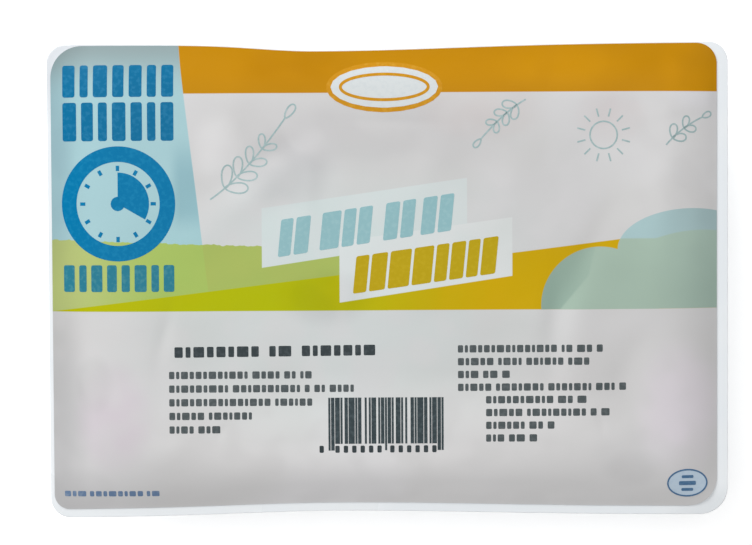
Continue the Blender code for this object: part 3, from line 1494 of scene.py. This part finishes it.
@dataclass(frozen=True)
class TrayFinish:
    """Pale milky clear plastic, smooth and a little glossy."""

    name: str = "clear_plastic"
    light: Colour = paint(236, 240, 243)
    dark: Colour = paint(233, 238, 242)
    clouds: Mottle = Mottle(26.0, 2.0, 0.40, 0.60)
    roughness: Mottle = Mottle(40.0, 1.0, 0.3, 0.7, 0.26, 0.31)
    grain: Grain = Grain(22.0, 0.0, 0.02)
    glow_depth: float = 2.0
    glow: float = 0.08
    # Painted shade: the flange's back left and front right corners are darkened
    painted_light_and_tints: tuple[PaintedLightAndTint, ...] = (
        PaintedLightAndTint(-90.0, 62.0, 30.0, 22.0, (0.850, 0.850, 0.865)),
        PaintedLightAndTint(90.0, -66.0, 20.0, 12.0, (0.880, 0.885, 0.890)),
    )

    def material(self) -> bpy.types.Material:
        """Make the tray's material.

        Returns:
            The material.
        """
        canvas = Canvas(self.name)
        spot = Spot(canvas, *canvas.plan())
        colour = canvas.blend(self.clouds.on(canvas), self.light, self.dark)
        for painted_patch in self.painted_light_and_tints:
            colour = painted_patch.over(colour, spot)
        return canvas.surface({
            "Base Color": colour,
            "Roughness": self.roughness.on(canvas),
            "Subsurface Weight": self.glow,
            "Subsurface Radius": WHITE,
            "Subsurface Scale": self.glow_depth * MM,
            "Normal": self.grain.on(canvas),
        })


# Pieces


def finish_piece(piece: bpy.types.Object, material: bpy.types.Material) -> None:
    """Dress a piece, set it on the pack's body and report it.

    Args:
        piece: The piece.
        material: Its material.
    """
    piece.data.materials.append(material)
    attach(piece, BODY)
    LOG.info("piece %s: %d faces", piece.name, len(piece.data.polygons))


@dataclass(frozen=True)
class Film:
    """The printed film: a thin closed sheet that lies over the contents and on the flange."""

    form: PackForm
    finish: FilmFinish = FilmFinish()
    outline: RoundedOutline = RoundedOutline(short_steps=44, corner_steps=19, long_steps=76)
    thickness: float = 0.16
    hidden_drop: float = 0.9
    hidden_reach: float = 6.0
    rings: int = 92
    hidden_rings: int = 24
    reach: float = 61.2
    ring_power: float = 1.35

    def insets(self, count: int) -> np.ndarray:
        """Space rings from the edge inwards, closer together near the edge: a power of even steps."""
        return self.reach * (np.arange(count) / (count - 1)) ** self.ring_power

    def build(self) -> None:
        """Build the film from its underside's middle, round its edge, to its upper side's middle."""
        under = self.insets(self.hidden_rings)[::-1]
        over = self.insets(self.rings)
        drop = self.thickness + self.hidden_drop * rising(under, self.hidden_reach, 2)
        rings = np.concatenate((
            self.form.film_rings(under, drop, self.outline),
            self.form.film_rings(over, np.zeros(len(over)), self.outline),
        ))
        piece = lofted_piece("film_sheet", rings)
        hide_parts("top_film")
        finish_piece(piece, self.finish.material())


@dataclass(frozen=True)
class Tray:
    """The plastic tray: a base with a ribbed panel, a foot, a leaning wall with a ledge, and a flange."""

    form: PackForm
    finish: TrayFinish = TrayFinish()
    outline: RoundedOutline = RoundedOutline(short_steps=22, corner_steps=19, long_steps=44)
    flange_corners: tuple[float, float, float, float] = (5.4, 5.0, 5.5, 7.4)
    flange_width: float = 8.4
    # How much smaller the rounding of the flange's edge makes its corners
    flange_rounding: float = 1.0
    film_clearance: float = 0.18
    collars: tuple[float, float] = (0.26, 0.06)
    collar_height: float = 17.77
    hollow: float = 1.8
    hollow_reach: float = 6.0
    top_reach: float = 60.0
    top_rings: int = 22
    sample: float = 0.25
    rounding: int = 2
    panel_height: float = 0.8
    panel_inset: float = 28.6
    panel_middle: float = 0.6
    panel_overlap: float = 0.4
    panel_corner: float = 6.0
    panel_ring_count: int = 46
    rib_pitch: float = 14.0
    rib_width: float = 2.2
    rib_height: float = 0.55
    rib_reach: float = 20.0
    rib_fade: int = 12
    ribbed_length: float = 49.0
    ribbed_fade: int = 24
    profile: tuple[tuple[float, float, float], ...] = (
        (28.6, 0.8, 6.0),
        (27.4, 0.0, 7.0),
        (17.2, 0.0, 12.0),
        (15.7, 0.4, 13.0),
        (14.7, 1.4, 13.5),
        (14.2, 3.0, 14.0),
        (13.2, 7.8, 14.5),
        (11.8, 8.6, 15.0),
        (11.4, 10.0, 15.0),
        (10.2, 15.6, 15.0),
        (9.6, 16.8, 15.0),
        (8.4, 17.3, 14.5),
        (0.0, 16.45, 14.5),
        (0.0, 17.55, 14.5),
        (0.35, 17.74, 14.5),
    )

    def smooth_profile(self) -> np.ndarray:
        """Round the profile: even samples along it, each averaged with its neighbours.

        Returns:
            Insets, heights and the wall's corner radii of the samples.
        """
        corners = np.array(self.profile)
        steps = np.linalg.norm(np.diff(corners[:, :2], axis=0), axis=1)
        places = np.concatenate(((0.0,), np.cumsum(steps)))
        at = np.linspace(0.0, places[-1], int(places[-1] / self.sample))
        samples = np.stack([np.interp(at, places, column) for column in corners.T])
        padded = np.pad(samples, ((0, 0), (self.rounding, self.rounding)), mode="edge")
        width = 2 * self.rounding + 1
        window = np.lib.stride_tricks.sliding_window_view(padded, width, axis=1)
        return window.mean(axis=-1)

    def panel_rings(self) -> np.ndarray:
        """Lay the base's panel, with cross ribs: a bell across each rib, which fades towards its ends.

        Returns:
            Points of the rings from the panel's middle to its edge.
        """
        half_width = self.form.tray_width / 2.0
        insets = np.linspace(
            half_width - self.panel_middle, self.panel_inset + self.panel_overlap, self.panel_ring_count
        )
        radii = np.minimum(self.panel_corner, self.form.corner_share * (half_width - insets))
        heights = np.full(len(insets), self.panel_height)
        rings = self.form.tray_rings(insets, heights, np.tile(radii[:, None], 4), self.outline)
        off_rib = (rings[..., 0] + self.rib_pitch / 2.0) % self.rib_pitch - self.rib_pitch / 2.0
        fade = plateau(rings[..., 1], self.rib_reach, self.rib_fade)
        end = plateau(rings[..., 0], self.ribbed_length, self.ribbed_fade)
        rings[..., 2] -= self.rib_height * bell(off_rib, self.rib_width) * fade * end
        return rings

    def corner_radii(self, insets: np.ndarray, wall: np.ndarray) -> np.ndarray:
        """Lead the wall's corners over to the flange's: evenly across the flange's width.

        Args:
            insets: The rings' distances from the flange's edge.
            wall: The radius that the wall's corners have at each ring.

        Returns:
            The radii of each ring's corners, rings by four.
        """
        outwards = np.clip(1.0 - insets / self.flange_width, 0.0, 1.0)[:, None]
        flange = np.array(self.flange_corners) - np.minimum(insets, self.flange_rounding)[:, None]
        return (1.0 - outwards) * wall[:, None] + outwards * flange

    def build(self) -> None:
        """Build the tray from the middle of its base, up the wall and round the flange, to its top."""
        insets, heights, wall = self.smooth_profile()
        corners = self.corner_radii(insets, wall)
        collar = self.form.film_rings(-np.array(self.collars), np.zeros(len(self.collars)), self.outline)
        collar[..., 2] = self.collar_height
        upper = np.linspace(0.0, self.top_reach, self.top_rings)
        hollow = self.film_clearance + self.hollow * rising(upper, self.hollow_reach, 2)
        rings = np.concatenate((
            self.panel_rings(),
            self.form.tray_rings(insets, heights, corners, self.outline),
            collar,
            self.form.film_rings(upper, hollow, self.outline),
        ))
        piece = lofted_piece("tray_shell", rings)
        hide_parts("tray")
        finish_piece(piece, self.finish.material())


@dataclass(frozen=True)
class InkLayer:
    """Printed marks of one ink, draped over the film as thin closed sheets."""

    name: str
    finish: InkFinish
    marks: tuple[Mark, ...]
    lift: float = 0.03
    thickness: float = 0.08

    def build(self, form: PackForm) -> None:
        """Drape the marks: their plan points get the film's height and a small lift.

        Args:
            form: The form of the film that they lie on.
        """
        points = []
        quads = []
        first = 0
        for patch in (patch for mark in self.marks for patch in mark.patches()):
            plan = patch.points.reshape(-1, 2) + (0.0, PRINT_RISE)
            height = form.film_top(plan[:, 0], plan[:, 1]) + self.lift
            points.append(np.column_stack((plan, height)))
            points.append(np.column_stack((plan, height - self.thickness)))
            quads.append(patch.quads(first))
            first += 2 * len(plan)
        piece = filled_mesh(self.name, np.concatenate(points), np.concatenate(quads))
        finish_piece(piece, self.finish.material())


@dataclass(frozen=True)
class Print:
    """All marks that are printed on the film. They stand for lines of words and drawings, and hold none."""

    form: PackForm
    blue: InkFinish = InkFinish("blue_ink", paint(12, 110, 155), paint(34, 121, 165))
    figure: InkFinish = InkFinish("figure_ink", paint(0, 118, 168), paint(16, 127, 175))
    deep: InkFinish = InkFinish("deep_ink", paint(44, 124, 146), paint(66, 137, 152))
    teal: InkFinish = InkFinish("teal_ink", paint(146, 188, 194), paint(153, 193, 198))
    mustard: InkFinish = InkFinish("mustard_ink", paint(188, 162, 18), paint(193, 167, 26))
    dark: InkFinish = InkFinish("dark_ink", paint(58, 67, 70), paint(72, 80, 84))
    small: InkFinish = InkFinish("small_ink", paint(82, 90, 92), paint(96, 103, 105))
    bars: InkFinish = InkFinish("bar_ink", paint(58, 70, 74), paint(74, 86, 90))
    pale: InkFinish = InkFinish("pale_ink", paint(214, 219, 220), paint(209, 215, 217))
    orange: InkFinish = InkFinish("orange_ink", paint(202, 142, 28), paint(208, 152, 44))
    line: InkFinish = InkFinish("line_ink", paint(160, 184, 185), paint(174, 194, 195))
    foot: InkFinish = InkFinish("foot_ink", paint(108, 132, 164), paint(126, 146, 172))
    oval_line: InkFinish = InkFinish("oval_ink", paint(78, 114, 150), paint(94, 126, 158))
    oval_ground: InkFinish = InkFinish("oval_ground_ink", paint(192, 209, 224), paint(187, 205, 222))
    panel_rows: tuple[BlockRow, ...] = (
        BlockRow(-86.2, 48.2, 8.5, (3.4, 2.2, 3.8, 3.0, 3.4, 2.4, 3.2), 1.38, corner=0.6),
        BlockRow(-86.2, 36.6, 10.2, (3.8, 3.2, 2.4, 3.6, 3.0, 2.2, 3.4), 1.35, corner=0.6),
    )
    lower_row: BlockRow = BlockRow(-86.2, -3.3, 7.1, (3.0, 2.0, 3.0, 2.6, 2.2, 3.2, 2.0, 2.8), 1.26)
    banner_height: float = 9.9
    banner_lean: float = 0.10
    upper_gap: float = 0.8
    upper_slope: float = 0.148
    lower_gap: float = 0.72
    lower_slope: float = 0.138
    upper_groups: tuple[Group, ...] = (
        (-29.2, 5.7, (3.3, 3.8)),
        (-18.2, 7.4, (5.0, 3.2, 3.5)),
        (-1.4, 9.9, (3.7, 3.4)),
        (8.5, 11.3, (3.7, 3.6)),
    )
    lower_groups: tuple[Group, ...] = ((-9.4, -4.1, (3.5, 4.2, 5.6, 5.2, 3.3, 3.7, 3.1, 4.0)),)
    title: WordRow = WordRow(
        -56.7, -20.8, (22.3, 5.8, 19.4), height=2.8, gap=2.8, pitch=2.9, space=0.75, slope=0.008
    )
    paragraphs: tuple[Paragraph, ...] = (
        Paragraph(-58.2, -26.45, 3.62, (
            (20.8, 7.2, 3.0, 3.0), (15.6, 17.8, 1.3, 2.8, 6.4), (26.8, 9.8), (9.2, 11.4), (6.4, 5.8),
        )),
        Paragraph(18.3, -19.82, 3.4, (
            (26.2, 2.8, 4.0, 1.6), (9.4, 6.2, 9.8, 5.6), (5.4, 3.8, 2.0), (8.8, 12.6, 11.4, 5.0, 1.8),
        )),
        Paragraph(25.7, -33.36, 3.4, (
            (17.8, 3.9, 2.4), (9.6, 15.6, 1.6, 2.2), (10.2, 3.6, 1.8), (4.8, 4.2, 2.0),
        )),
    )
    foot_row: WordRow = WordRow(-86.7, -58.0, (5.8, 14.2, 3.4), height=1.5, gap=1.0, pitch=1.7)
    oval_marks: tuple[Mark, ...] = (
        OvalLine(79.5, -55.2, 5.3, 3.6, 0.42),
        BlockRow(77.2, -55.8, 1.1, (4.6,), 0.5, corner=SMALL_CORNER),
        BlockRow(77.9, -53.9, 0.8, (3.2,), 0.5, corner=SMALL_CORNER),
        BlockRow(77.9, -57.4, 0.8, (3.2,), 0.5, corner=SMALL_CORNER),
    )
    sprigs: tuple[Sprig, ...] = (
        Sprig(),
        Sprig((36.5, 47.0), (31.0, 44.0), (24.5, 36.5), pairs=3, leaf_length=3.8, leaf_width=1.0),
        Sprig((73.6, 34.8), (77.6, 39.4), (83.6, 42.2), pairs=2, leaf_length=3.6, leaf_width=1.0),
    )

    def banner_rows(self, groups: tuple[Group, ...], gap: float, slope: float) -> tuple[BlockRow, ...]:
        """Set the groups of blocks of one banner along its own slope.

        Args:
            groups: The groups of blocks.
            gap: How far apart its blocks are.
            slope: How steeply the banner rises.

        Returns:
            The banner's rows.
        """
        return tuple(
            BlockRow(left, base, self.banner_height, lengths, gap, slope=slope, lean=self.banner_lean)
            for left, base, lengths in groups
        )

    def bar_rows(self) -> tuple[BlockRow, ...]:
        """Set the small blocks below the bars: one to their left, then two groups of six.

        Returns:
            The rows of all three groups.
        """
        low, height, width, gap = -46.3, 1.9, 1.15, 1.08
        groups = ((-18.5, 1), (-14.3, 6), (0.25, 6))
        return tuple(
            BlockRow(left, low, height, (width,) * count, gap, corner=SMALL_CORNER) for left, count in groups
        )

    def build(self) -> None:
        """Build every layer of ink."""
        upper = self.banner_rows(self.upper_groups, self.upper_gap, self.upper_slope)
        lower = self.banner_rows(self.lower_groups, self.lower_gap, self.lower_slope)
        layers = (
            InkLayer("panel_block_rows", self.blue, self.panel_rows),
            InkLayer("lower_block_row", self.deep, (self.lower_row,)),
            InkLayer("timer_face", self.figure, (Timer(),)),
            InkLayer("upper_banner_blocks", self.teal, upper),
            InkLayer("lower_banner_blocks", self.mustard, lower),
            InkLayer("title_dashes", self.dark, (self.title,)),
            InkLayer("small_dashes", self.small, self.paragraphs),
            InkLayer("upright_bars", self.bars, (Bars(),)),
            InkLayer("bar_dashes", self.dark, self.bar_rows()),
            InkLayer("foot_dashes", self.foot, (self.foot_row,)),
            InkLayer("oval_ground", self.oval_ground, (Oval(79.5, -55.2, 5.3, 3.6),)),
            InkLayer("oval_mark", self.oval_line, self.oval_marks, lift=0.08),
            InkLayer("plate_edge", self.orange, (Oval(-0.8, 50.5, 15.4, 6.7),), thickness=0.06),
            InkLayer("plate_ground", self.pale, (Oval(-0.8, 50.5, 14.2, 5.5),), lift=0.06),
            InkLayer("plate_ring", self.orange, (OvalLine(-0.8, 50.5, 11.6, 3.4, 0.8),), lift=0.08),
            InkLayer("sprig_lines", self.line, self.sprigs),
            InkLayer("sun_lines", self.line, (Sun(),)),
        )
        for layer in layers:
            layer.build(self.form)


# Studio


@dataclass(frozen=True)
class Lamp:
    """A square soft light that looks at the pack."""

    name: str
    place: tuple[float, float, float]
    side: float
    power: float


@dataclass(frozen=True)
class Studio:
    """The pale floor, the soft lights and the camera straight above the pack."""

    frame_width: int = 752
    pixel: float = 0.2657
    sensor: float = 36.0
    centre: tuple[float, float] = (-3.14, 2.2)
    aim_height: float = 20.0
    distance: float = 600.0
    tilt: float = 2.0
    roll: float = 0.32
    floor_half: float = 2500.0
    floor_tone: float = 0.90
    floor_roughness: float = 0.9
    floor_shine: float = 0.1
    floor_glow: float = 0.32
    sky: float = 0.26
    lamps: tuple[Lamp, ...] = (
        Lamp("overhead_light", (0.0, 0.0, 1500.0), 1600.0, 15.0),
        Lamp("side_light", (-680.0, 800.0, 620.0), 700.0, 12.5),
    )

    def floor(self) -> None:
        """Lay the floor, one flat square below the pack."""
        half = self.floor_half
        corners = np.array(((-half, -half, 0.0), (half, -half, 0.0), (half, half, 0.0), (-half, half, 0.0)))
        floor = filled_mesh("floor", corners, np.array(((0, 1, 2, 3),)))
        floor.data.materials.append(Canvas("floor_paint").surface({
            "Base Color": (self.floor_tone, self.floor_tone, self.floor_tone),
            "Roughness": self.floor_roughness,
            "Specular IOR Level": self.floor_shine,
            "Emission Color": WHITE,
            "Emission Strength": self.floor_glow,
        }))

    def light(self, lamp: Lamp) -> None:
        """Hang one light and turn it to the pack.

        Args:
            lamp: The light's sizes.
        """
        data = bpy.data.lights.new(lamp.name, "AREA")
        data.shape = "SQUARE"
        data.size = lamp.side * MM
        data.energy = lamp.power
        light = linked(lamp.name, data)
        place = np.array(lamp.place) * MM
        light.location = place
        turn = math.atan2(place[1], place[0]) + math.pi / 2.0
        light.rotation_euler = (math.atan2(np.hypot(place[0], place[1]), place[2]), 0.0, turn)

    def camera(self) -> None:
        """Hang the camera: it looks down at the frame's middle, tilted and rolled a little."""
        data = bpy.data.cameras.new("camera")
        data.sensor_width = self.sensor
        data.lens = self.sensor * self.distance / (self.frame_width * self.pixel)
        camera = linked("camera", data)
        tilt = math.radians(self.tilt)
        back = self.distance * math.sin(tilt)
        up = self.distance * math.cos(tilt)
        camera.location = (
            self.centre[0] * MM,
            (self.centre[1] + back) * MM,
            (self.aim_height + up) * MM,
        )
        camera.rotation_euler = (-tilt, 0.0, -math.radians(self.roll))
        bpy.context.scene.camera = camera

    def world(self) -> None:
        """Fill the room with an even pale light."""
        world = bpy.data.worlds.new("room")
        world.use_nodes = True
        background = world.node_tree.nodes["Background"]
        background.inputs["Color"].default_value = (*WHITE, 1.0)
        background.inputs["Strength"].default_value = self.sky
        bpy.context.scene.world = world

    def build(self) -> None:
        """Set up floor, lights, room and camera."""
        self.floor()
        for lamp in self.lamps:
            self.light(lamp)
        self.world()
        self.camera()
        bpy.context.scene.view_settings.view_transform = "Standard"
        LOG.info("studio: %d lights", len(self.lamps))


def main() -> None:
    """Build the pack's pieces in order, then the studio."""
    logging.basicConfig(level=logging.INFO, format="%(message)s")
    form = PackForm()
    Tray(form).build()
    Film(form).build()
    Print(form).build()
    Studio().build()


if __name__ == "__main__":
    main()
